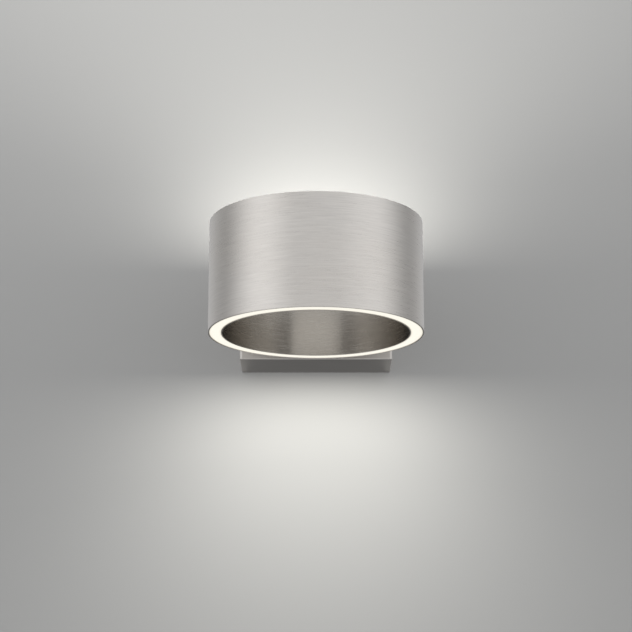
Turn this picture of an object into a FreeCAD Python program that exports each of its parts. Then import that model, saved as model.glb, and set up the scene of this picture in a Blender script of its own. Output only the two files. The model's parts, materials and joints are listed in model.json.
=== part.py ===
import FreeCAD, Part
import math
import os

# Tube wall light: a short, wide brushed tube (two concentric sleeves with an open
# middle) that shines up and down from two thin opal rings, held a few millimetres
# in front of a flat rectangular wall box.
#
# Millimetres. +Z is up, +X is to the right seen from the room, the room is on -Y.
# The wall is the plane y = 0. The origin is the middle of the wall bracket's hole
# pattern, on the wall.

V = FreeCAD.Vector

# ---------------------------------------------------------------- driving sizes
drum_r = 85.0            # outside radius of the tube
drum_h = 90.0            # height of the tube
outer_t = 1.2            # outer sleeve sheet
inner_ro = 74.8          # inner sleeve outside radius
inner_t = 1.0            # inner sleeve sheet
edge_break = 0.25        # small chamfer on the cut ends of both sleeves

box_w = 127.6            # wall box width
box_h = 90.0             # wall box height
box_d = 50.0             # wall box depth
box_t = 1.2              # wall box sheet
box_r_vert = 2.0         # bend radius of the two upright front edges
box_r_edge = 0.8         # the other outside edges

gap = 3.0                # least gap between wall box and tube
saddle_w = 36.0
saddle_h = 56.0

diff_recess = 0.3        # opal ring sits this far inside the sleeve ends
diff_depth = 11.5        # depth of the opal ring's channel
diff_face_t = 1.8
diff_leg_t = 1.0
diff_clear = 0.1

board_t = 1.6
carrier_t = 3.0
led_count = 48
led_w, led_l, led_h = 2.8, 3.5, 0.7
tie_angles = (45.0, 135.0, 225.0, 315.0)

bracket_t = 1.5          # wall bracket sheet
bracket_step = 3.0       # the middle panel stands this far off the wall
bracket_half_w = 62.4    # outside of the side flanges
bracket_half_h = 38.0
bracket_flange_h = 40.0
bracket_reach = 18.0     # the flanges reach this far from the wall
slot_w = 4.5
slot_l = 12.0
slot_x = 30.0
slot_z = 33.0
cable_hole_r = 10.0
side_screw_y = -9.0
side_slot_w = 4.4

drum_screw_z = 12.0      # two screws hold the tube, above and below the lead bush
m4 = 4.0
m3 = 3.0
thread_clear = 0.05      # screw and tapped hole, radial

# ---------------------------------------------------------------- derived places
cy = -(box_d + gap + drum_r)            # tube axis
half = drum_h / 2.0
outer_ri = drum_r - outer_t
inner_ri = inner_ro - inner_t
ring_r = (outer_ri + inner_ro) / 2.0    # middle of the 9 mm space between the sleeves
z_face = half - diff_recess             # outside face of the opal ring
z_board = z_face - diff_depth           # outside face of the board
z_carrier = z_board - board_t           # outside face of the carrier ring
z_tie = z_carrier - carrier_t           # ends of the spacers
hx = box_w / 2.0
ix = hx - box_t                         # inside half-width of the wall box
iz = box_h / 2.0 - box_t
y_front = -box_d                        # outside of the box's front plate
y_plate = -box_d + box_t                # its inside face

os.makedirs("parts", exist_ok=True)
made = {}


# ---------------------------------------------------------------- small helpers
def box(x0, x1, y0, y1, z0, z1):
    return Part.makeBox(x1 - x0, y1 - y0, z1 - z0, V(x0, y0, z0))


def cyl(r, length, base, direction):
    return Part.makeCylinder(r, length, V(*base), V(*direction))


def ring(ri, ro, z0, z1, x=0.0, y=None):
    y = cy if y is None else y
    a = Part.makeCylinder(ro, z1 - z0, V(x, y, z0))
    return a.cut(Part.makeCylinder(ri, z1 - z0 + 2, V(x, y, z0 - 1)))


def revolve_section(points):
    """Closed (radius, z) outline turned about the tube's axis."""
    pts = [V(r, cy, z) for r, z in points]
    face = Part.Face(Part.makePolygon(pts + [pts[0]]))
    return face.revolve(V(0, cy, 0), V(0, 0, 1), 360)


def polar(r, deg):
    a = math.radians(deg)
    return r * math.cos(a), cy + r * math.sin(a)


def turned(shape, deg):
    """Turn about the tube's axis."""
    s = shape.copy()
    s.rotate(V(0, cy, 0), V(0, 0, 1), deg)
    return s


def mirror_z(shape):
    return shape.mirror(V(0, 0, 0), V(0, 0, 1))


def slot_cut(x, z, length, width, y0, y1):
    """Round-ended slot along X, cut along Y."""
    h = (length - width) / 2.0
    s = box(x - h, x + h, y0, y1, z - width / 2.0, z + width / 2.0)
    for dx in (-h, h):
        s = s.fuse(cyl(width / 2.0, y1 - y0, (x + dx, y0, z), (0, 1, 0)))
    return s


def pan_screw(head_r, head_h, shank_r, shank_l, base, direction, cross=True):
    """Pan head screw; base is under the head, the shank runs along direction."""
    d = V(*direction)
    b = V(*base)
    back = V(-d.x, -d.y, -d.z)
    head = Part.makeCylinder(head_r, head_h, b, back)
    rim = [e for e in head.Edges
           if isinstance(e.Curve, Part.Circle)
           and (e.Curve.Center - (b + back * head_h)).Length < 1e-6]
    head = head.makeFillet(min(head_h * 0.55, head_r * 0.4), rim)
    shank = Part.makeCylinder(shank_r, shank_l, b, d)
    s = head.fuse(shank).removeSplitter()
    tip = [e for e in s.Edges
           if isinstance(e.Curve, Part.Circle)
           and (e.Curve.Center - (b + d * shank_l)).Length < 1e-6]
    if tip:
        s = s.makeChamfer(min(0.4, shank_r * 0.3), tip)
    if cross:
        # cross recess
        side = V(0, 0, 1) if abs(d.z) < 0.9 else V(1, 0, 0)
        other = d.cross(side)
        for u, w in ((side, other), (other, side)):
            L, W, D = head_r * 1.05, head_r * 0.24, head_h * 0.55
            o = b + back * (head_h - D) - u * (L / 2) - w * (W / 2)
            p = [o, o + u * L, o + u * L + w * W, o + w * W]
            f = Part.Face(Part.makePolygon(p + [p[0]]))
            s = s.cut(f.extrude(back * (D + 1)))
    return s


def hex_nut(across, thick, bore_r, base, direction):
    d = V(*direction)
    b = V(*base)
    side = V(0, 0, 1) if abs(d.z) < 0.9 else V(1, 0, 0)
    other = d.cross(side)
    rr = across / 2.0 / math.cos(math.pi / 6)
    pts = []
    for k in range(6):
        a = math.radians(60 * k)
        pts.append(b + side * (rr * math.cos(a)) + other * (rr * math.sin(a)))
    f = Part.Face(Part.makePolygon(pts + [pts[0]]))
    n = f.extrude(d * thick)
    n = n.cut(Part.makeCylinder(bore_r, thick + 2, b - d, d))
    # the corners are turned off at the free end
    cone = Part.makeCone(across / 2.0 + thick, across / 2.0 - 0.05, thick, b, d)
    return n.common(cone)


def washer(ri, ro, t, base, direction):
    d = V(*direction)
    b = V(*base)
    w = Part.makeCylinder(ro, t, b, d)
    return w.cut(Part.makeCylinder(ri, t + 2, b - d, d))


def lead(points, radii, r):
    """Round lead: straight runs joined by tangent arcs. radii holds one bend
    radius for each inner point."""
    pts = [V(*p) for p in points]
    edges = []
    start = pts[0]
    total = 0.0
    for i in range(1, len(pts) - 1):
        a = (pts[i - 1] - pts[i]).normalize()
        b = (pts[i + 1] - pts[i]).normalize()
        ang = a.getAngle(b)                   # inside angle of the corner
        R = radii[i - 1]
        t = R / math.tan(ang / 2.0)
        p1 = pts[i] + a * t
        p2 = pts[i] + b * t
        bis = (a + b).normalize()
        c = pts[i] + bis * (R / math.sin(ang / 2.0))
        mid = c + (pts[i] - c).normalize() * R
        if (p1 - start).Length > 1e-6:
            edges.append(Part.makeLine(start, p1))
            total += (p1 - start).Length
        edges.append(Part.Arc(p1, mid, p2).toShape())
        total += R * (math.pi - ang)
        start = p2
    edges.append(Part.makeLine(start, pts[-1]))
    total += (pts[-1] - start).Length
    path = Part.Wire(edges)
    d0 = (pts[1] - pts[0]).normalize()
    circle = Part.Wire(Part.Edge(Part.Circle(pts[0], d0, r)))
    tube = path.makePipeShell([circle], True, False)
    if tube.ShapeType != "Solid":
        tube = Part.makeSolid(tube)
    if tube.Volume < 0:
        tube.reverse()
    print("lead length %.1f radii %s volume ratio %.4f"
          % (total, radii, tube.Volume / (math.pi * r * r * total)))
    return tube


def save(name, shape):
    solids = shape.Solids
    out = solids[0] if len(solids) == 1 else Part.makeCompound(solids)
    ok = all(s.isValid() and s.Volume > 0 for s in solids) and len(solids) > 0
    print("%-24s solids %3d  volume %9.1f  %s"
          % (name, len(solids), out.Volume, "ok" if ok else "BAD"))
    out.exportStep("parts/%s.step" % name)
    made[name] = out


# ================================================================ wall bracket
# One bent sheet: two strips flat on the wall, a middle panel that stands 3 mm off
# it, and two side flanges with slots that are open at the front.
def wall_bracket():
    t, s = bracket_t, bracket_step
    k = t * math.tan(math.radians(22.5))
    z_a, z_b = 27.5, 27.5 - s                 # ends of the sloping webs, wall side
    H = bracket_half_h
    pts = [(0, H), (0, z_a), (-s, z_b), (-s, -z_b), (0, -z_a), (0, -H),
           (-t, -H), (-t, -z_a - k), (-s - t, -z_b - k),
           (-s - t, z_b + k), (-t, z_a + k), (-t, H)]
    half_w = 57.0
    poly = [V(-half_w, y, z) for y, z in pts]
    b = Part.Face(Part.makePolygon(poly + [poly[0]])).extrude(V(2 * half_w, 0, 0))
    # round the four outer corners of the strips
    corner = [e for e in b.Edges
              if abs(abs(e.CenterOfMass.x) - half_w) < 1e-6
              and abs(abs(e.CenterOfMass.z) - H) < 1e-6 and e.Length < 3]
    b = b.makeFillet(4.0, corner)
    fh = bracket_flange_h / 2.0
    for sgn in (-1, 1):
        xo = bracket_half_w
        f = box(half_w - 1.0, xo, -s - t, -s, -fh, fh)
        f = f.fuse(box(xo - t, xo, -bracket_reach, -s, -fh, fh)).removeSplitter()
        outer = [e for e in f.Edges if abs(e.CenterOfMass.x - xo) < 1e-6
                 and abs(e.CenterOfMass.y + s) < 1e-6 and e.Length > 10]
        f = f.makeFillet(2.5, outer)
        inner = [e for e in f.Edges if abs(e.CenterOfMass.x - (xo - t)) < 1e-6
                 and abs(e.CenterOfMass.y + s + t) < 1e-6 and e.Length > 10]
        f = f.makeFillet(1.0, inner)
        front = [e for e in f.Edges
                 if abs(e.CenterOfMass.y + bracket_reach) < 1e-6
                 and abs(abs(e.CenterOfMass.z) - fh) < 1e-6 and e.Length < 3]
        f = f.makeFillet(4.0, front)
        # slot open towards the room, with a flared mouth
        w = side_slot_w / 2.0
        yc = side_screw_y + 0.1
        cut = box(xo - 4, xo + 2, -bracket_reach - 1, yc, -w, w)
        cut = cut.fuse(cyl(w, 6, (xo - 4, yc, 0), (1, 0, 0)))
        m = [V(xo - 4, -bracket_reach - 1, -w - 2.6), V(xo - 4, -bracket_reach + 1.6, -w),
             V(xo - 4, -bracket_reach + 1.6, w), V(xo - 4, -bracket_reach - 1, w + 2.6)]
        cut = cut.fuse(Part.Face(Part.makePolygon(m + [m[0]])).extrude(V(6, 0, 0)))
        f = f.cut(cut)
        if sgn < 0:
            f = f.mirror(V(0, 0, 0), V(1, 0, 0))
        b = b.fuse(f)
    b = b.removeSplitter()
    # slotted holes for wall screws, and for the screws of a round wall socket box
    for x in (-slot_x, slot_x):
        for z in (-slot_z, slot_z):
            b = b.cut(slot_cut(x, z, slot_l, slot_w, -6, 2))
        b = b.cut(slot_cut(x, 0, slot_l, slot_w, -8, 2))
    # cable hole and the tapped hole for the earth screw
    b = b.cut(cyl(cable_hole_r, 10, (0, -8, 0), (0, 1, 0)))
    b = b.cut(cyl(m4 / 2 + thread_clear, 10, (46, -8, 12), (0, 1, 0)))
    return b


save("wall_bracket", wall_bracket())

# Soft grommet in the cable hole: groove on the sheet edge, a lip each side.
g_y0 = -bracket_step - bracket_t          # front of the sheet
g = cyl(12.5, 2.4, (0, g_y0 - 2.4, 0), (0, 1, 0))
g = g.makeFillet(1.0, [e for e in g.Edges if isinstance(e.Curve, Part.Circle)
                       and abs(e.Curve.Center.y - (g_y0 - 2.4)) < 1e-6])
g = g.fuse(cyl(cable_hole_r - 0.02, bracket_t, (0, g_y0, 0), (0, 1, 0)))
g = g.fuse(Part.makeCone(12.0, 10.6, 2.2, V(0, g_y0 + bracket_t, 0), V(0, 1, 0)))
g = g.cut(cyl(5.5, 12, (0, g_y0 - 4, 0), (0, 1, 0))).removeSplitter()
save("cable_grommet", g)

# Earth screw and toothed washer on the bracket.
save("bracket_earth_washer",
     washer(2.2, 4.6, 0.8, (46, g_y0, 12), (0, -1, 0)))
save("bracket_earth_screw",
     pan_screw(3.8, 2.6, m4 / 2, 4.6, (46, g_y0 - 0.8, 12), (0, 1, 0)))


# ================================================================ wall box
# Bent and welded sheet box, open at the wall, with welded studs inside.
def rounded_block(half_w, y0, y1, z0, z1, r_v, r_e):
    b = box(-half_w, half_w, y0, y1, z0, z1)
    up = [e for e in b.Edges if e.Length > 10
          and abs(abs(e.CenterOfMass.x) - half_w) < 1e-6
          and abs(e.CenterOfMass.y - y0) < 1e-6]
    b = b.makeFillet(r_v, up)
    rest = [e for e in b.Edges
            if (abs(e.CenterOfMass.z - z0) < 1e-6 or abs(e.CenterOfMass.z - z1) < 1e-6)
            and e.CenterOfMass.y < y1 - 1e-3]
    b = b.makeFillet(r_e, rest)
    return b


driver_zc = -30.0
driver_stud_x = 50.0
term_x0, term_x1 = 16.0, 38.0
term_z = (10.0, 20.0, 30.0)
term_stud_z = (1.8, 38.2)
earth_stud = (43.0, -10.0)


def wall_box():
    b = rounded_block(hx, y_front, 0.0, -box_h / 2, box_h / 2, box_r_vert, box_r_edge)
    c = rounded_block(ix, y_plate, 2.0, -iz, iz, box_r_vert - box_t, 0.3)
    b = b.cut(c)
    # screw holes in the two sides
    b = b.cut(cyl(2.15, 2 * hx + 10, (-hx - 5, side_screw_y, 0), (1, 0, 0)))
    # screw holes and lead hole in the front plate
    for z in (-drum_screw_z, drum_screw_z):
        b = b.cut(cyl(2.15, 5, (0, y_front - 1, z), (0, 1, 0)))
    b = b.cut(cyl(5.0, 5, (0, y_front - 1, 0), (0, 1, 0)))
    # welded studs: driver, terminal block, earth
    for x in (-driver_stud_x, driver_stud_x):
        b = b.fuse(cyl(m3 / 2, 6.2, (x, y_plate - 0.4, driver_zc), (0, 1, 0)))
    for z in term_stud_z:
        b = b.fuse(cyl(m3 / 2, 7.2, (27.0, y_plate - 0.4, z), (0, 1, 0)))
    b = b.fuse(cyl(m4 / 2, 8.4, (earth_stud[0], y_plate - 0.4, earth_stud[1]), (0, 1, 0)))
    return b.removeSplitter()


save("wall_box", wall_box())

# Side screws and the square nuts behind the bracket's flanges.
side_screws, side_nuts = [], []
for sgn in (-1, 1):
    s = pan_screw(3.8, 2.4, m4 / 2, 7.4, (sgn * hx, side_screw_y, 0), (-sgn, 0, 0))
    side_screws.append(s)
    x0 = bracket_half_w - bracket_t - 0.2
    n = box(x0 - 3.0, x0, side_screw_y - 3.5, side_screw_y + 3.5, -3.5, 3.5)
    n = n.cut(cyl(m4 / 2 + thread_clear, 20, (x0 - 10, side_screw_y, 0), (1, 0, 0)))
    if sgn < 0:
        n = n.mirror(V(0, 0, 0), V(1, 0, 0))
    side_nuts.append(n)
save("side_screws", Part.makeCompound(side_screws))
save("side_screw_nuts", Part.makeCompound(side_nuts))


# ================================================================ tube fixing
# Saddle block between the flat box and the round tube.
def drum_saddle():
    s = box(-saddle_w / 2, saddle_w / 2, y_front - 8, y_front, -saddle_h / 2, saddle_h / 2)
    up = [e for e in s.Edges if e.Length < 9 and abs(e.CenterOfMass.y - (y_front - 4)) < 1e-6]
    s = s.makeFillet(4.0, up)
    s = s.cut(Part.makeCylinder(drum_r + 0.02, saddle_h + 4, V(0, cy, -saddle_h / 2 - 2)))
    for z in (-drum_screw_z, drum_screw_z):
        s = s.cut(cyl(2.15, 12, (0, y_front - 10, z), (0, 1, 0)))
    s = s.cut(cyl(5.0, 12, (0, y_front - 10, 0), (0, 1, 0)))
    return s


save("drum_saddle", drum_saddle())

# Curved nut plate inside the tube, with a window for the leads.
nut_plate_t = 5.0


def drum_nut_plate():
    ro = outer_ri - 0.02
    p = ring(ro - nut_plate_t, ro, -22, 22)
    p = p.common(box(-12, 12, cy + 60, cy + 90, -22, 22))
    p = p.cut(box(-7, 7, cy + 60, cy + 90, -6.5, 6.5))
    for z in (-drum_screw_z, drum_screw_z):
        p = p.cut(cyl(m4 / 2 + thread_clear, 14, (0, cy + 76, z), (0, 1, 0)))
    return p


save("drum_nut_plate", drum_nut_plate())

drum_screws, drum_washers = [], []
for z in (-drum_screw_z, drum_screw_z):
    drum_washers.append(washer(2.2, 4.5, 0.8, (0, y_plate, z), (0, 1, 0)))
    drum_screws.append(pan_screw(3.8, 2.6, m4 / 2, 10.5, (0, y_plate + 0.8, z), (0, -1, 0)))
save("drum_screw_washers", Part.makeCompound(drum_washers))
save("drum_screws", Part.makeCompound(drum_screws))

# Soft bush that takes the leads from the box into the tube.
bush_in = -(box_d + gap + outer_t + 0.9)
b = cyl(6.4, 1.4, (0, y_plate, 0), (0, 1, 0))
b = b.makeFillet(0.6, [e for e in b.Edges if isinstance(e.Curve, Part.Circle)
                       and abs(e.Curve.Center.y - (y_plate + 1.4)) < 1e-6])
b = b.fuse(cyl(4.9, y_plate - bush_in, (0, bush_in, 0), (0, 1, 0)))
b = b.cut(cyl(3.4, 20, (0, bush_in - 5, 0), (0, 1, 0))).removeSplitter()
save("lead_bush", b)


# ================================================================ tube sleeves
def sleeve(ri, ro):
    e = edge_break
    return revolve_section([
        (ri, -half + e), (ri + e, -half), (ro - e, -half), (ro, -half + e),
        (ro, half - e), (ro - e, half), (ri + e, half), (ri, half - e)])


o = sleeve(outer_ri, drum_r)
for z in (-drum_screw_z, drum_screw_z):
    o = o.cut(cyl(2.15, 20, (0, cy + 75, z), (0, 1, 0)))
o = o.cut(cyl(5.0, 20, (0, cy + 75, 0), (0, 1, 0)))
save("outer_sleeve", o)
save("inner_sleeve", sleeve(inner_ri, inner_ro))


# ================================================================ light rings
# Carrier ring: pressed between the sleeves, holds the board and the spacers.
def carrier_lower():
    c = ring(inner_ro + 0.02, outer_ri - 0.02, -z_carrier, -z_tie)
    for a in tie_angles:
        x, y = polar(ring_r, a)
        c = c.cut(Part.makeCylinder(1.6, carrier_t + 2, V(x, y, -z_carrier - 1)))
    # hole for the two leads, at the back
    x, y = polar(ring_r - 1.2, 90.0)
    c = c.cut(box(-3.2, 3.2, y - 1.6, y + 1.6, -z_carrier - 1, -z_tie + 1))
    return c


def board_lower():
    b = ring(inner_ro + 0.3, outer_ri - 0.3, -z_board, -z_carrier)
    for a in tie_angles:
        x, y = polar(ring_r, a)
        b = b.cut(Part.makeCylinder(1.6, board_t + 2, V(x, y, -z_board - 1)))
    return b


def chips_lower():
    # packages stand in one ring, with room left for the screw heads
    out = []
    pitch = 360.0 / led_count
    for k in range(led_count):
        a = pitch * (k + 0.5)
        if min(abs((a - t + 180) % 360 - 180) for t in tie_angles) < pitch * 0.6:
            continue
        c = box(ring_r - led_w / 2, ring_r + led_w / 2, cy - led_l / 2, cy + led_l / 2,
                -z_board - led_h, -z_board)
        out.append(turned(c, a))
    return Part.makeCompound(out)


def diffuser_lower():
    ri, ro = inner_ro + diff_clear, outer_ri - diff_clear
    t, L = diff_face_t, diff_leg_t
    zf, zb = -z_face, -z_board
    return revolve_section([
        (ri + 0.4, zf), (ro - 0.4, zf), (ro, zf + 0.4), (ro, zb),
        (ro - L, zb), (ro - L, zf + t), (ri + L, zf + t), (ri + L, zb),
        (ri, zb), (ri, zf + 0.4)])


def board_screws_lower():
    out = []
    for a in tie_angles:
        x, y = polar(ring_r, a)
        out.append(pan_screw(2.6, 1.8, m3 / 2, 9.0, (x, y, -z_board), (0, 0, 1)))
    return Part.makeCompound(out)


c = carrier_lower()
save("carrier_ring_lower", c)
save("carrier_ring_upper", mirror_z(c))
c = board_lower()
save("led_board_lower", c)
save("led_board_upper", mirror_z(c))
c = chips_lower()
save("led_chips_lower", c)
save("led_chips_upper", mirror_z(c))
c = board_screws_lower()
save("board_screws_lower", c)
save("board_screws_upper", mirror_z(c))
c = diffuser_lower()
save("diffuser_lower", c)
save("diffuser_upper", mirror_z(c))

# Hexagonal threaded spacers that tie the two carrier rings together.
ties = []
for a in tie_angles:
    x, y = polar(ring_r, a)
    rr = 5.5 / 2.0 / math.cos(math.pi / 6)
    pts = [V(x + rr * math.cos(math.radians(60 * k)), y + rr * math.sin(math.radians(60 * k)), -z_tie)
           for k in range(6)]
    p = Part.Face(Part.makePolygon(pts + [pts[0]])).extrude(V(0, 0, 2 * z_tie))
    for z0 in (-z_tie, z_tie - 8.0):
        p = p.cut(Part.makeCylinder(m3 / 2 + thread_clear, 8.0, V(x, y, z0)))
    ties.append(p)
save("tie_spacers", Part.makeCompound(ties))


# ================================================================ driver
d_hw, d_hh = 44.0, 12.5
d_y0, d_y1, d_y2 = y_plate, -32.0, -26.6
dz0, dz1 = driver_zc - d_hh, driver_zc + d_hh
notch_in = (driver_zc - 4.5, driver_zc + 6.5)
notch_out = (driver_zc - 1.0, driver_zc + 5.2)


def driver_base():
    w, fl = 1.6, 1.8
    b = box(-d_hw, d_hw, d_y0, d_y1, dz0, dz1)
    b = b.makeFillet(1.2, [e for e in b.Edges
                           if abs(abs(e.CenterOfMass.x) - d_hw) < 1e-6
                           and abs(abs(e.CenterOfMass.z - driver_zc) - d_hh) < 1e-6])
    b = b.cut(box(-d_hw + w, d_hw - w, d_y0 + fl, d_y1 + 1, dz0 + w, dz1 - w))
    for sgn in (-1, 1):
        xa, xb = sorted((sgn * (d_hw - 0.5), sgn * (d_hw + 10.5)))
        ear = box(xa, xb, d_y0, d_y0 + 2.0, driver_zc - 6, driver_zc + 6)
        ear = ear.makeFillet(3.0, [e for e in ear.Edges
                                   if abs(e.CenterOfMass.x - sgn * (d_hw + 10.5)) < 1e-6
                                   and e.Length < 3])
        ear = ear.cut(cyl(1.7, 6, (sgn * driver_stud_x, d_y0 - 2, driver_zc), (0, 1, 0)))
        b = b.fuse(ear)
    b = b.removeSplitter()
    # lead openings in the two ends
    b = b.cut(box(d_hw - w - 1, d_hw + 1, -42, d_y1 + 1, notch_in[0], notch_in[1]))
    b = b.cut(box(-d_hw - 1, -d_hw + w + 1, -42, d_y1 + 1, notch_out[0], notch_out[1]))
    # posts under the board
    for x in (-37, 37):
        for z in (driver_zc - 7.5, driver_zc + 7.5):
            b = b.fuse(cyl(2.0, 2.3 + 0.4, (x, d_y0 + fl - 0.4, z), (0, 1, 0)))
    return b.removeSplitter()


def driver_cover():
    w = 1.6
    c = box(-d_hw, d_hw, d_y1, d_y2, dz0, dz1)
    c = c.makeFillet(1.2, [e for e in c.Edges
                           if abs(abs(e.CenterOfMass.x) - d_hw) < 1e-6
                           and abs(abs(e.CenterOfMass.z - driver_zc) - d_hh) < 1e-6])
    rim = [e for e in c.Edges if abs(e.CenterOfMass.y - d_y2) < 1e-6]
    c = c.makeFillet(0.8, rim)
    # locating lip inside the base
    lip = box(-d_hw + w + 0.1, d_hw - w - 0.1, d_y1 - 3.0, d_y1 + 1.0, dz0 + w + 0.1, dz1 - w - 0.1)
    c = c.fuse(lip)
    c = c.cut(box(-d_hw + w + 1.1, d_hw - w - 1.1, d_y1 - 4, d_y2 - w, dz0 + w + 1.1, dz1 - w - 1.1))
    return c.removeSplitter()


save("driver_base", driver_base())
save("driver_cover", driver_cover())

db_y0 = d_y0 + 1.8 + 2.3                   # board rests on the posts
db_y1 = db_y0 + 1.6
save("driver_board", box(-40, 40, db_y0, db_y1, driver_zc - 9.8, driver_zc + 9.8))
tr = box(1, 19, db_y1, db_y1 + 10.5, driver_zc - 8, driver_zc + 8)
tr = tr.makeFillet(0.8, [e for e in tr.Edges if abs(e.CenterOfMass.y - (db_y1 + 10.5)) < 1e-6])
save("driver_transformer", tr)
caps = []
for x in (-26.0, -14.0):
    k = cyl(4.5, 9.5, (x, db_y1, driver_zc - 4.0), (0, 1, 0))
    k = k.makeFillet(0.5, [e for e in k.Edges if isinstance(e.Curve, Part.Circle)
                           and abs(e.Curve.Center.y - (db_y1 + 9.5)) < 1e-6])
    caps.append(k)
save("driver_capacitors", Part.makeCompound(caps))

save("driver_nuts", Part.makeCompound(
    [hex_nut(5.5, 2.4, m3 / 2 + thread_clear, (x, d_y0 + 2.0, driver_zc), (0, 1, 0))
     for x in (-driver_stud_x, driver_stud_x)]))


# ================================================================ terminal block
tb_base = y_plate + 3.6
tb_top = y_plate + 14.8
tb_bore_y = y_plate + 8.4


def terminal_block():
    z0, z1 = term_stud_z[0] - 4, term_stud_z[-1] + 4
    b = box(term_x0, term_x1, y_plate, tb_base, z0, z1)
    for z in term_z:
        p = box(term_x0, term_x1, tb_base - 0.2, tb_top, z - 4.2, z + 4.2)
        top = [e for e in p.Edges if abs(e.CenterOfMass.y - tb_top) < 1e-6]
        p = p.makeFillet(1.2, top)
        b = b.fuse(p)
    b = b.removeSplitter()
    for z in term_z:
        b = b.cut(cyl(2.95, term_x1 - term_x0 + 4, (term_x0 - 2, tb_bore_y, z), (1, 0, 0)))
        for x in (21.5, 32.5):
            b = b.cut(cyl(2.0, 10, (x, tb_bore_y, z), (0, 1, 0)))
    for z in term_stud_z:
        b = b.cut(cyl(1.7, 20, (27.0, y_plate - 2, z), (0, 1, 0)))
    return b


save("terminal_block", terminal_block())
ins, tsc = [], []
for z in term_z:
    s = cyl(2.85, term_x1 - term_x0 - 3, (term_x0 + 1.5, tb_bore_y, z), (1, 0, 0))
    s = s.cut(cyl(1.8, 40, (term_x0 - 5, tb_bore_y, z), (1, 0, 0)))
    for x in (21.5, 32.5):
        s = s.cut(cyl(1.45, 10, (x, tb_bore_y, z), (0, 1, 0)))
        k = cyl(1.4, 4.2, (x, tb_bore_y + 1.35, z), (0, 1, 0))
        k = k.cut(box(x - 2, x + 2, tb_bore_y + 4.7, tb_bore_y + 6, z - 0.3, z + 0.3))
        tsc.append(k)
    ins.append(s)
save("terminal_inserts", Part.makeCompound(ins))
save("terminal_screws", Part.makeCompound(tsc))
save("terminal_nuts", Part.makeCompound(
    [hex_nut(5.5, 2.4, m3 / 2 + thread_clear, (27.0, tb_base, z), (0, 1, 0)) for z in term_stud_z]))


# ================================================================ earth point
ex, ez = earth_stud


def earth_lug():
    # ring tongue with a short barrel pointing up
    l = cyl(4.2, 0.8, (ex, y_plate, ez), (0, 1, 0))
    l = l.fuse(box(ex - 2.0, ex + 2.0, y_plate, y_plate + 0.8, ez, ez + 7.5))
    l = l.fuse(cyl(2.0, 6.0, (ex, y_plate + 2.0, ez + 6.0), (0, 0, 1)))
    l = l.cut(cyl(1.25, 10.0, (ex, y_plate + 2.0, ez + 5.0), (0, 0, 1)))
    l = l.cut(cyl(2.1, 4, (ex, y_plate - 1, ez), (0, 1, 0)))
    return l.removeSplitter()


save("earth_lug", earth_lug())
save("earth_washer", washer(2.15, 3.9, 0.7, (ex, y_plate + 0.8, ez), (0, 1, 0)))
save("earth_nut", hex_nut(7.0, 3.2, m4 / 2 + thread_clear, (ex, y_plate + 1.5, ez), (0, 1, 0)))


# ================================================================ leads
# Mains leads: terminal block to driver. They run down the right-hand side.
y_in = tb_bore_y                            # -40.4
save("live_lead", lead(
    [(30.0, y_in, term_z[1]), (47.0, y_in, term_z[1]), (47.0, y_in + 2.6, driver_zc + 4.2),
     (34.0, y_in + 2.6, driver_zc + 4.2), (34.0, db_y1, driver_zc + 4.2)],
    [6.0, 5.0, 2.4], 1.1))
save("neutral_lead", lead(
    [(30.0, y_in, term_z[2]), (56.5, y_in, term_z[2]), (56.5, y_in + 2.6, driver_zc - 2.0),
     (30.0, y_in + 2.6, driver_zc - 2.0), (30.0, db_y1, driver_zc - 2.0)],
    [6.0, 6.0, 2.4], 1.1))
save("earth_lead", lead(
    [(30.0, y_in, term_z[0]), (ex, y_in, term_z[0]), (ex, y_plate + 2.0, ez + 14.0),
     (ex, y_plate + 2.0, ez + 7.5)],
    [4.0, 4.0], 1.15))

# Low-voltage leads: driver to the bush, through the tube wall, to each board.
y_turn = cy + ring_r - 1.6                  # inside the tube
for name, yk, xc, ze, xb, zb, up in (
        ("led_lead_upper_plus", -37.8, -52.4, driver_zc + 0.6, 1.3, 1.3, 1),
        ("led_lead_lower_plus", -37.8, -50.0, driver_zc + 3.2, 1.3, -1.3, -1),
        ("led_lead_upper_minus", -40.2, -52.4, driver_zc + 0.6, -1.3, 1.3, 1),
        ("led_lead_lower_minus", -40.2, -50.0, driver_zc + 3.2, -1.3, -1.3, -1)):
    xe = -33.0 if yk > -39 else -36.0
    save(name, lead(
        [(xe, db_y1, ze), (xe, yk, ze), (xc, yk, ze), (xc, yk, zb), (xb, yk, zb),
         (xb, y_turn, zb), (xb, y_turn, up * z_carrier)],
        [1.8, 5.0, 7.0, 5.0, 5.0], 0.75))

print("nodes", len(made))
print("tube axis y", cy, "ring_r", ring_r, "z_board", z_board, "z_carrier", z_carrier, "z_tie", z_tie)
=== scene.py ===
import json
import math

import bpy
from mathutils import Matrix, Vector

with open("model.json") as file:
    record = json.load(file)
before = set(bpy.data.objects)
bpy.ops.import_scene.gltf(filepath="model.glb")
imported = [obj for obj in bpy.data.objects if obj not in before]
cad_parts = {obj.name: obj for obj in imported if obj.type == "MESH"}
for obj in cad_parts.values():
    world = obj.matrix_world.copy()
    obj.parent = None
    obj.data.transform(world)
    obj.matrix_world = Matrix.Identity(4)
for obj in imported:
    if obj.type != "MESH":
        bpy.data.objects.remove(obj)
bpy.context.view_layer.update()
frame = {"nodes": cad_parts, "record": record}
nodes = frame["nodes"]

scene = bpy.context.scene
scene.view_settings.view_transform = "Standard"
scene.view_settings.look = "None"
scene.view_settings.exposure = 0.0
scene.view_settings.gamma = 1.0

# ------------------------------------------------------------------ places (m)
DRUM_R = 0.085
DRUM_H = 0.090
DRUM_Y = -0.138                       # axis of the tube
Z_LOW = -DRUM_H / 2

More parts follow.
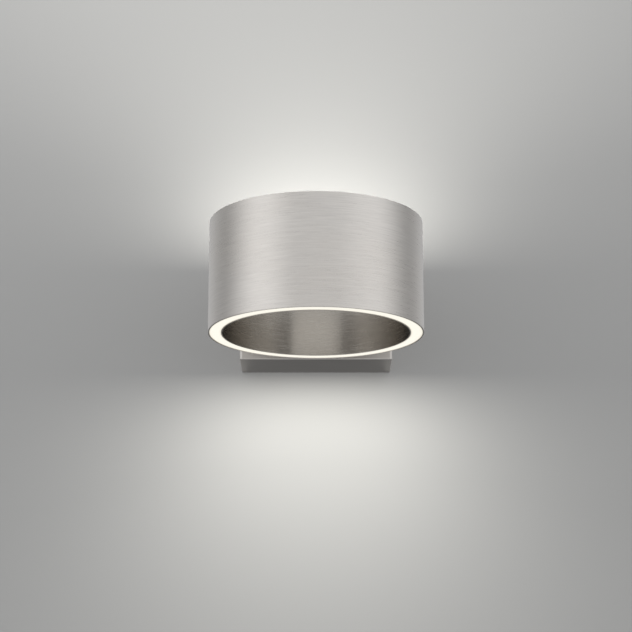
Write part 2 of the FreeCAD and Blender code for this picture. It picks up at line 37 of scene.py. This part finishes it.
# ------------------------------------------------------------------ light levels
STUDIO = 1.0                          # the whole surround
LOW_BACK = 0.19                       # the surround low behind the light
WALL_ALBEDO = 0.36
WALL_LIGHT = 0.40 / WALL_ALBEDO
GLOW = (1.0, 0.98, 0.914)
CARD_TUBE = 0.51
CARD_SIDE = 0.15


# =================================================================== materials
class Mat:
    """A small helper around one node tree."""

    def __init__(self, name):
        self.m = bpy.data.materials.new(name)
        self.m.use_nodes = True
        self.t = self.m.node_tree
        self.n = self.t.nodes
        self.b = self.n["Principled BSDF"]
        self.obj = self.n.new("ShaderNodeTexCoord").outputs["Object"]

    def new(self, kind, **sets):
        node = self.n.new(kind)
        for k, v in sets.items():
            setattr(node, k, v)
        return node

    def link(self, a, b):
        self.t.links.new(a, b)

    def math(self, op, a, b=None, c=None, clamp=False):
        node = self.new("ShaderNodeMath", operation=op, use_clamp=clamp)
        for i, v in enumerate((a, b, c)):
            if v is None:
                continue
            if isinstance(v, (int, float)):
                node.inputs[i].default_value = v
            else:
                self.link(v, node.inputs[i])
        return node.outputs[0]

    def scaled(self, sx, sy, sz, src=None, offset=(0.0, 0.0, 0.0)):
        node = self.new("ShaderNodeMapping")
        node.inputs["Scale"].default_value = (sx, sy, sz)
        node.inputs["Location"].default_value = offset
        self.link(src or self.obj, node.inputs["Vector"])
        return node.outputs["Vector"]

    def noise(self, vec, scale=1.0, detail=2.0, rough=0.5, dist=0.0):
        node = self.new("ShaderNodeTexNoise")
        node.inputs["Scale"].default_value = scale
        node.inputs["Detail"].default_value = detail
        node.inputs["Roughness"].default_value = rough
        node.inputs["Distortion"].default_value = dist
        self.link(vec, node.inputs["Vector"])
        return node.outputs["Fac"]

    def rng(self, v, a, b, c, d, smooth=False):
        node = self.new("ShaderNodeMapRange")
        if smooth:
            node.interpolation_type = "SMOOTHSTEP"
        node.inputs["From Min"].default_value = a
        node.inputs["From Max"].default_value = b
        node.inputs["To Min"].default_value = c
        node.inputs["To Max"].default_value = d
        self.link(v, node.inputs["Value"])
        return node.outputs["Result"]

    def ramp(self, fac, stops):
        node = self.new("ShaderNodeValToRGB")
        el = node.color_ramp.elements
        while len(el) > 1:
            el.remove(el[-1])
        el[0].position = stops[0][0]
        el[0].color = (*stops[0][1], 1)
        for p, c in stops[1:]:
            e = el.new(p)
            e.color = (*c, 1)
        self.link(fac, node.inputs["Fac"])
        return node.outputs["Color"]

    def mix(self, fac, a, b):
        node = self.new("ShaderNodeMix", data_type="RGBA")
        if isinstance(fac, (int, float)):
            node.inputs[0].default_value = fac
        else:
            self.link(fac, node.inputs[0])
        for i, v in ((6, a), (7, b)):
            if isinstance(v, tuple):
                node.inputs[i].default_value = (*v, 1)
            else:
                self.link(v, node.inputs[i])
        return node.outputs[2]

    def bump(self, height, strength, distance, normal=None):
        node = self.new("ShaderNodeBump")
        node.inputs["Strength"].default_value = strength
        node.inputs["Distance"].default_value = distance
        self.link(height, node.inputs["Height"])
        if normal is not None:
            self.link(normal, node.inputs["Normal"])
        return node.outputs["Normal"]

    def set(self, **kw):
        names = {"base": "Base Color", "rough": "Roughness", "metal": "Metallic",
                 "aniso": "Anisotropic", "ior": "IOR", "coat": "Coat Weight",
                 "coat_rough": "Coat Roughness", "spec": "Specular IOR Level",
                 "emit": "Emission Color", "strength": "Emission Strength",
                 "normal": "Normal", "tangent": "Tangent", "sss": "Subsurface Weight",
                 "rot": "Anisotropic Rotation"}
        for k, v in kw.items():
            s = self.b.inputs[names[k]]
            if isinstance(v, tuple):
                s.default_value = (*v, 1) if len(v) == 3 else v
            elif isinstance(v, (int, float)):
                s.default_value = v
            else:
                self.link(v, s)
        return self


def brushed(name, tint, rough, aniso, streak):
    """Plated sheet, brushed round the tube.
    Long hairlines, short brighter and darker strokes and a faint cloud make up the
    finish; streak is how strong they are. The highlight is drawn out across them."""
    m = Mat(name)
    sep = m.new("ShaderNodeSeparateXYZ")
    m.link(m.obj, sep.inputs[0])
    dy = m.math("SUBTRACT", DRUM_Y, sep.outputs[1])
    round_ = m.math("MULTIPLY", m.math("ARCTAN2", sep.outputs[0], dy), DRUM_R)
    comb = m.new("ShaderNodeCombineXYZ")
    m.link(round_, comb.inputs[0])
    m.link(sep.outputs[2], comb.inputs[1])
    flat = comb.outputs[0]                # metres round the tube, metres up
    fine = m.noise(m.scaled(28, 2700, 1, flat), 1.0, 3.0, 0.65)
    hair = m.noise(m.scaled(45, 1250, 1, flat, (3.1, 1.7, 5.3)), 1.0, 2.0, 0.6)
    stroke = m.noise(m.scaled(125, 1000, 1, flat, (11.3, 4.1, 9.2)), 1.0, 1.0, 0.5)
    cloud = m.noise(m.scaled(14, 14, 18), 1.0, 3.0, 0.55)
    # only the strongest strokes show, light and dark
    up = m.rng(stroke, 0.60, 0.76, 0.0, 1.0, smooth=True)
    down = m.rng(stroke, 0.24, 0.40, 1.0, 0.0, smooth=True)
    marks = m.math("SUBTRACT", up, down)
    lines = m.math("ADD", m.math("ADD", m.math("MULTIPLY", fine, 0.50), m.math("MULTIPLY", hair, 0.50)),
                   m.math("MULTIPLY", marks, 0.075))
    dark = tuple(c * (1 - streak) for c in tint)
    light = tuple(min(1.0, c * (1 + streak)) for c in tint)
    base = m.ramp(lines, [(0.36, dark), (0.50, tint), (0.64, light)])
    warm = m.ramp(cloud, [(0.30, (0.965, 0.955, 0.945)), (0.70, (1.0, 1.0, 1.0))])
    mult = m.new("ShaderNodeMix", data_type="RGBA", blend_type="MULTIPLY")
    mult.inputs[0].default_value = 1.0
    m.link(base, mult.inputs[6])
    m.link(warm, mult.inputs[7])
    r = m.math("ADD", m.rng(lines, 0.36, 0.64, rough - 0.04, rough + 0.04),
               m.rng(cloud, 0.3, 0.7, -0.018, 0.018))
    # the two cut rims are ground to a higher roughness; their paler colour is a painted highlight for the light the
    # lit opal rings throw on them
    rim = m.rng(m.math("ABSOLUTE", sep.outputs[2]), DRUM_H / 2 - 0.00034, DRUM_H / 2 - 0.00010, 0.0, 1.0)
    rim_painted_highlight = m.ramp(m.noise(m.scaled(420, 420, 420), 1.0, 2.0, 0.5),
                 [(0.35, tuple(min(1.0, c * 1.22) for c in tint)), (0.65, tuple(min(1.0, c * 1.38) for c in tint))])
    r = m.math("ADD", r, m.math("MULTIPLY", rim, 0.26))
    tan = m.new("ShaderNodeTangent", direction_type="RADIAL", axis="Z")
    m.set(base=m.mix(rim, mult.outputs[2], rim_painted_highlight), metal=1.0, rough=r, aniso=aniso, rot=0.25,
          tangent=tan.outputs["Tangent"], normal=m.bump(lines, 0.25, 0.00004))
    return m.m


def plain_metal(name, tint, rough, grain=900.0, spangle=0.0):
    m = Mat(name)
    g = m.noise(m.scaled(grain, grain, grain), 1.0, 2.0, 0.5)
    c = m.noise(m.scaled(60, 60, 60), 1.0, 3.0, 0.6)
    dark = tuple(x * 0.86 for x in tint)
    light = tuple(min(1, x * 1.08) for x in tint)
    base = m.ramp(c, [(0.30, dark), (0.55, tint), (0.75, light)])
    if spangle:
        v = m.new("ShaderNodeTexVoronoi", feature="F1")
        v.inputs["Scale"].default_value = 1.0
        m.link(m.scaled(260, 260, 260), v.inputs["Vector"])
        sep = m.new("ShaderNodeSeparateColor")
        m.link(v.outputs["Color"], sep.inputs["Color"])
        tone = m.rng(sep.outputs[0], 0.0, 1.0, 1.0 - spangle, 1.0 + spangle * 0.4)
        comb = m.new("ShaderNodeCombineColor")
        for i in range(3):
            m.link(tone, comb.inputs[i])
        mult = m.new("ShaderNodeMix", data_type="RGBA", blend_type="MULTIPLY")
        mult.inputs[0].default_value = 1.0
        m.link(base, mult.inputs[6])
        m.link(comb.outputs[0], mult.inputs[7])
        base = mult.outputs[2]
    m.set(base=base, metal=1.0, rough=m.rng(g, 0.3, 0.7, rough - 0.06, rough + 0.06),
          normal=m.bump(g, 0.12, 0.00004))
    return m.m


def plastic(name, tint, rough, grain=1400.0, bump=0.12, spread=0.06, coat=0.0):
    m = Mat(name)
    g = m.noise(m.scaled(grain, grain, grain), 1.0, 2.0, 0.5)
    c = m.noise(m.scaled(45, 45, 45), 1.0, 3.0, 0.6)
    dark = tuple(x * (1 - spread * 1.4) for x in tint)
    light = tuple(min(1, x * (1 + spread)) for x in tint)
    m.set(base=m.ramp(c, [(0.32, dark), (0.55, tint), (0.75, light)]),
          rough=m.rng(c, 0.3, 0.7, rough - 0.05, rough + 0.05),
          normal=m.bump(g, bump, 0.00005))
    if coat:
        m.set(coat=coat, coat_rough=0.12)
    return m.m


NICKEL = (0.674, 0.648, 0.616)
OPAL_GLOW = 0.90


def box_nickel(name):
    """The wall box: brushing runs along X on every face."""
    m = Mat(name)
    side = m.noise(m.scaled(55, 2400, 2400), 1.0, 3.0, 0.65)
    broad = m.noise(m.scaled(24, 380, 380), 1.0, 2.0, 0.5)
    cloud = m.noise(m.scaled(16, 16, 16), 1.0, 3.0, 0.55)
    lines = m.math("ADD", m.math("MULTIPLY", side, 0.62), m.math("MULTIPLY", broad, 0.38))
    base = m.ramp(lines, [(0.30, tuple(c * 0.945 for c in NICKEL)), (0.52, NICKEL),
                          (0.72, tuple(c * 1.05 for c in NICKEL))])
    r = m.math("ADD", m.rng(lines, 0.3, 0.7, 0.42, 0.51), m.rng(cloud, 0.3, 0.7, -0.02, 0.02))
    m.set(base=base, metal=1.0, rough=r, normal=m.bump(lines, 0.18, 0.00004))
    return m.m


def opal(name):
    """Lit opal ring: even light that falls off a little at its two edges."""
    m = Mat(name)
    sep = m.new("ShaderNodeSeparateXYZ")
    m.link(m.obj, sep.inputs[0])
    dy = m.math("SUBTRACT", sep.outputs[1], DRUM_Y)
    r = m.math("SQRT", m.math("ADD", m.math("MULTIPLY", sep.outputs[0], sep.outputs[0]),
                              m.math("MULTIPLY", dy, dy)))
    off = m.math("ABSOLUTE", m.math("SUBTRACT", r, 0.0793))
    edge = m.rng(off, 0.0026, 0.0046, 0.0, 1.0, smooth=True)
    soft = m.noise(m.scaled(90, 90, 90), 1.0, 2.0, 0.5)
    glow = m.mix(m.math("ADD", m.math("MULTIPLY", edge, 0.80), m.rng(soft, 0.3, 0.7, 0.0, 0.06)),
                 (1.0, 0.960, 0.850), (0.86, 0.815, 0.70))
    grain = m.noise(m.scaled(2600, 2600, 2600), 1.0, 2.0, 0.5)
    m.set(base=(0.25, 0.245, 0.23), rough=m.rng(grain, 0.3, 0.7, 0.42, 0.55), emit=glow,
          strength=OPAL_GLOW, normal=m.bump(grain, 0.10, 0.00003))
    return m.m


def earth_insulation(name):
    """Green lead with a yellow band, in place of a plain colour."""
    m = Mat(name)
    w = m.new("ShaderNodeTexWave", wave_type="BANDS", bands_direction="DIAGONAL")
    w.inputs["Scale"].default_value = 1.0
    w.inputs["Distortion"].default_value = 0.4
    m.link(m.scaled(130, 130, 130), w.inputs["Vector"])
    m.set(base=m.ramp(w.outputs["Fac"], [(0.46, (0.10, 0.36, 0.07)), (0.54, (0.80, 0.70, 0.08))]),
          rough=0.42)
    return m.m


MATS = {
    # brushed round the tube
    "sleeve_nickel": brushed("sleeve_nickel", NICKEL, 0.30, 0.70, 0.085),
    # the inner tube's nickel is a darker copy of the sleeve's nickel: painted shade for the inside of the tube
    "inner_nickel_painted_shade": brushed("inner_nickel_painted_shade", (0.535, 0.512, 0.478), 0.25, 0.60, 0.080),
    "box_nickel": box_nickel("box_nickel"),
    "saddle_nickel": plain_metal("saddle_nickel", tuple(c * 0.92 for c in NICKEL), 0.40),
    "screw_nickel": plain_metal("screw_nickel", tuple(c * 1.0 for c in NICKEL), 0.26),
    "zinc": plain_metal("zinc", (0.74, 0.75, 0.77), 0.44, spangle=0.14),
    "zinc_bright": plain_metal("zinc_bright", (0.66, 0.67, 0.69), 0.27),
    "aluminium": plain_metal("aluminium", (0.74, 0.74, 0.75), 0.38),
    "board_white": plastic("board_white", (0.82, 0.82, 0.79), 0.38, coat=0.3),
    "led": plastic("led", (0.88, 0.70, 0.22), 0.30, coat=0.4),
    "opal": opal("opal"),
    "rubber_grey": plastic("rubber_grey", (0.055, 0.055, 0.056), 0.62, grain=2200, bump=0.25, spread=0.15),
    "driver_plastic": plastic("driver_plastic", (0.80, 0.80, 0.77), 0.48, bump=0.22),
    "driver_laminate": plastic("driver_laminate", (0.06, 0.22, 0.09), 0.35, coat=0.3),
    "transformer_tape": plastic("transformer_tape", (0.74, 0.52, 0.08), 0.36),
    "capacitor_sleeve": plastic("capacitor_sleeve", (0.03, 0.03, 0.045), 0.28, coat=0.4),
    "terminal_plastic": plastic("terminal_plastic", (0.80, 0.78, 0.70), 0.42, bump=0.15),
    "brass": plain_metal("brass", (0.78, 0.60, 0.28), 0.24),
    "tinned_copper": plain_metal("tinned_copper", (0.72, 0.70, 0.67), 0.30),
    "lead_brown": plastic("lead_brown", (0.16, 0.07, 0.03), 0.42),
    "lead_blue": plastic("lead_blue", (0.05, 0.16, 0.50), 0.42),
    "lead_green": earth_insulation("lead_green"),
    "lead_red": plastic("lead_red", (0.55, 0.03, 0.03), 0.42),
    "lead_black": plastic("lead_black", (0.02, 0.02, 0.02), 0.40),
}

LOOK = {
    "outer_sleeve": "sleeve_nickel", "inner_sleeve": "inner_nickel_painted_shade", "wall_box": "box_nickel",
    "drum_saddle": "saddle_nickel", "side_screws": "screw_nickel", "wall_bracket": "zinc",
}
for slot_row in frame["record"]["subparts"]:
    node, slot = slot_row["node"], slot_row["material_slot"]
    name = LOOK.get(node)
    if name is None:
        name = "zinc_bright" if slot == "zinc_steel" else slot
    for ms in nodes[node].material_slots:
        ms.material = MATS[name]

# ======================================================================= stage
stage_items = []


def quad(name, corners, mat):
    me = bpy.data.meshes.new(name)
    me.from_pydata(corners, [], [(0, 1, 2, 3)])
    me.materials.append(mat)
    o = bpy.data.objects.new(name, me)
    scene.collection.objects.link(o)
    stage_items.append(o)
    return o


def backdrop_material(name, albedo, see_through_back):
    m = bpy.data.materials.new(name)
    m.use_nodes = True
    t = m.node_tree
    b = t.nodes["Principled BSDF"]
    b.inputs["Base Color"].default_value = (*albedo, 1)
    b.inputs["Roughness"].default_value = 0.9
    b.inputs["Specular IOR Level"].default_value = 0.1
    if see_through_back:
        out = t.nodes["Material Output"]
        g = t.nodes.new("ShaderNodeNewGeometry")
        tr = t.nodes.new("ShaderNodeBsdfTransparent")
        mx = t.nodes.new("ShaderNodeMixShader")
        t.links.new(g.outputs["Backfacing"], mx.inputs[0])
        t.links.new(b.outputs[0], mx.inputs[1])
        t.links.new(tr.outputs[0], mx.inputs[2])
        t.links.new(mx.outputs[0], out.inputs["Surface"])
    return m


W = 3.0
FLOOR_Z = -1.7
# pale backdrop just behind the light; its back lets the view through
wall = quad("backdrop", [(-W, 0.0006, FLOOR_Z), (W, 0.0006, FLOOR_Z), (W, 0.0006, 2.5), (-W, 0.0006, 2.5)],
            backdrop_material("backdrop_paint", (WALL_ALBEDO, WALL_ALBEDO, WALL_ALBEDO * 0.995), True))
wall.visible_shadow = False
wall.visible_glossy = False
floor = quad("floor", [(-W, -W * 1.6, FLOOR_Z), (W, -W * 1.6, FLOOR_Z), (W, W * 1.2, FLOOR_Z), (-W, W * 1.2, FLOOR_Z)],
             backdrop_material("floor_paint", (0.62, 0.62, 0.61), False))

floor.visible_glossy = False

# ====================================================================== lights
# The studio: a large soft surround, brighter in two broad panels left and right of
# the viewer, dimmer where the wall and the room's lower half would be.
PANELS = [(-148, 0.58), (-114, 0.44), (-64, 1.09), (-57, 1.09), (-20, 0.78), (14, 0.80), (62, 0.98), (67, 0.98),
          (115, 0.43), (150, 0.58)]

world = bpy.data.worlds.new("world")
scene.world = world
world.use_nodes = True
wt = world.node_tree
bg = wt.nodes["Background"]


def wmath(op, a, b=None, clamp=False):
    node = wt.nodes.new("ShaderNodeMath")
    node.operation = op
    node.use_clamp = clamp
    for i, v in enumerate((a, b)):
        if v is None:
            continue
        if isinstance(v, (int, float)):
            node.inputs[i].default_value = v
        else:
            wt.links.new(v, node.inputs[i])
    return node.outputs[0]


def wrange(v, a, b, c, d):
    node = wt.nodes.new("ShaderNodeMapRange")
    node.interpolation_type = "SMOOTHSTEP"
    for key, x in (("From Min", a), ("From Max", b), ("To Min", c), ("To Max", d)):
        node.inputs[key].default_value = x
    wt.links.new(v, node.inputs["Value"])
    return node.outputs["Result"]


direction = wt.nodes.new("ShaderNodeTexCoord").outputs["Generated"]
wsep = wt.nodes.new("ShaderNodeSeparateXYZ")
wt.links.new(direction, wsep.inputs[0])
turn = wmath("ARCTAN2", wsep.outputs[0], wmath("MULTIPLY", wsep.outputs[1], -1.0))
ramp = wt.nodes.new("ShaderNodeValToRGB")
ramp.color_ramp.interpolation = "EASE"
el = ramp.color_ramp.elements
while len(el) > 1:
    el.remove(el[-1])
el[0].position = PANELS[0][0] / 360.0 + 0.5
el[0].color = (PANELS[0][1] * 0.5,) * 3 + (1,)
for deg, v in PANELS[1:]:
    e = el.new(deg / 360.0 + 0.5)
    e.color = (v * 0.5, v * 0.5, v * 0.5, 1)
wt.links.new(wmath("ADD", wmath("DIVIDE", turn, 2 * math.pi), 0.5), ramp.inputs["Fac"])
behind = wrange(wsep.outputs[1], 0.10, 0.65, 0.0, 1.0)
low_front = wrange(wsep.outputs[2], -0.75, 0.05, 0.60, 1.0)
low_back = wrange(wsep.outputs[2], -0.20, 0.12, LOW_BACK, 1.0)
level = wmath("ADD", wmath("MULTIPLY", low_front, wmath("SUBTRACT", 1.0, behind)),
              wmath("MULTIPLY", low_back, behind))
wmix = wt.nodes.new("ShaderNodeMix")
wmix.data_type = "RGBA"
wmix.blend_type = "MULTIPLY"
wmix.inputs[0].default_value = 1.0
wt.links.new(ramp.outputs["Color"], wmix.inputs[6])
wmix.inputs[7].default_value = (0.985, 0.99, 1.0, 1)
wt.links.new(wmix.outputs[2], bg.inputs[0])
wt.links.new(wmath("MULTIPLY", level, 2.0 * STUDIO), bg.inputs[1])


def area(name, loc, target, sx, sy, power, colour=(1, 1, 1), shape="RECTANGLE", shadow=True):
    l = bpy.data.lights.new(name, "AREA")
    l.shape = shape
    l.size = sx
    if shape == "RECTANGLE":
        l.size_y = sy
    l.energy = power
    l.color = colour
    l.use_shadow = shadow
    o = bpy.data.objects.new(name, l)
    o.location = loc
    o.rotation_mode = "QUATERNION"
    o.rotation_quaternion = (Vector(target) - Vector(loc)).to_track_quat("-Z", "Y")
    scene.collection.objects.link(o)
    o.visible_camera = False
    o.visible_glossy = False
    return o


# What the two lit rings throw on the wall: small soft lights set round each ring,
# (angle from the side towards the wall, watts), with a few further out that fill the pool.
RING_LOW = ((15, 0.1652), (45, 0.0745), (75, 0.0411))
RING_HIGH = ((45, 0.1469), (75, 0.0687))
for side, z, rows in (("low", -0.0456, RING_LOW), ("high", 0.0456, RING_HIGH)):
    for deg, watts in rows:
        for s in (1, -1):
            x = s * 0.0793 * math.cos(math.radians(deg))
            y = DRUM_Y + 0.0793 * math.sin(math.radians(deg))
            area("ring_%s_%d_%d" % (side, deg, s > 0), (x, y, z), (x, y, 20 * z), 0.030, 0.030,
                 watts * WALL_LIGHT, GLOW, "DISK")
# (name, x, y, z, spread in degrees, watts); all face straight up or down
POOLS = (("pool_low", 0.0, -0.22, -0.0456, 140, 0.2599),
         ("pool_high_a", -0.12, -0.22, 0.0456, 140, 0.1587), ("pool_high_b", 0.12, -0.22, 0.0456, 140, 0.1587),
         ("pool_high_c", -0.06, -0.22, 0.0456, 140, 0.0295), ("pool_high_d", 0.06, -0.22, 0.0456, 140, 0.0295),
         ("pool_high_e", -0.12, -0.30, 0.0456, 140, 0.1942), ("pool_high_f", 0.12, -0.30, 0.0456, 140, 0.1942),
         ("pool_high_g", -0.12, -0.42, 0.0456, 122, 0.1307), ("pool_high_h", 0.12, -0.42, 0.0456, 122, 0.1307))
for name, x, y, z, spread, watts in POOLS:
    o = area(name, (x, y, z), (x, y, 20 * z), 0.030, 0.030, watts * WALL_LIGHT, GLOW, "DISK")
    o.data.spread = math.radians(spread)
# Small reflector cards, seen only in the metal: one across the tube's mouth, and
# one low on either side of the box.
for name, loc, to, sx, sy, radiance in (
        ("card_tube", (0.008, DRUM_Y - 0.050, 0.003), (0.008, 0, 0.003), 0.088, 0.046, CARD_TUBE),
        ("card_tube_edge", (-0.047, DRUM_Y - 0.050, 0.006), (-0.047, 0, 0.006), 0.022, 0.052, CARD_TUBE * 0.7),
        ("card_left", (-0.086, -0.001, -0.076), (-0.086, -1, -0.076), 0.052, 0.058, CARD_SIDE),
        ("card_right", (0.086, -0.001, -0.076), (0.086, -1, -0.076), 0.052, 0.058, CARD_SIDE)):
    o = area(name, loc, to, sx, sy, math.pi * sx * sy * radiance, (1.0, 0.985, 0.95), shadow=False)
    o.visible_glossy = True
    o.visible_diffuse = False
# a soft wash down the wall from above
for k, (x, y, z, watts) in enumerate(((-0.30, -0.30, 0.60, 1.3636), (0.30, -0.30, 0.60, 0.7646),
                                      (0.0, -0.30, 0.60, 0.2996))):
    area("high_wash_%d" % k, (x, y, z), (x, y, -1.0), 0.20, 0.12, watts * WALL_LIGHT,
         (1.0, 0.99, 0.965), shadow=False)

# ====================================================================== camera
cam = bpy.data.cameras.new("camera")
cam_obj = bpy.data.objects.new("camera", cam)
scene.collection.objects.link(cam_obj)
dist = 16.07 * DRUM_R
el = math.radians(13.87)
rim = Vector((0, DRUM_Y, Z_LOW))                      # centre of the lower rim
cam_obj.location = rim + Vector((0, -dist * math.cos(el), -dist * math.sin(el)))
up = Vector((0, -math.sin(el), math.cos(el)))
aim = rim + up * dist * math.tan(math.radians(0.598))
cam_obj.rotation_mode = "QUATERNION"
cam_obj.rotation_quaternion = (aim - cam_obj.location).to_track_quat("-Z", "Y")
cam.sensor_width = 36.0
cam.lens = 36.0 * 1735.9 / 632.0
cam.clip_start = 0.01
cam.clip_end = 50.0
scene.camera = cam_obj
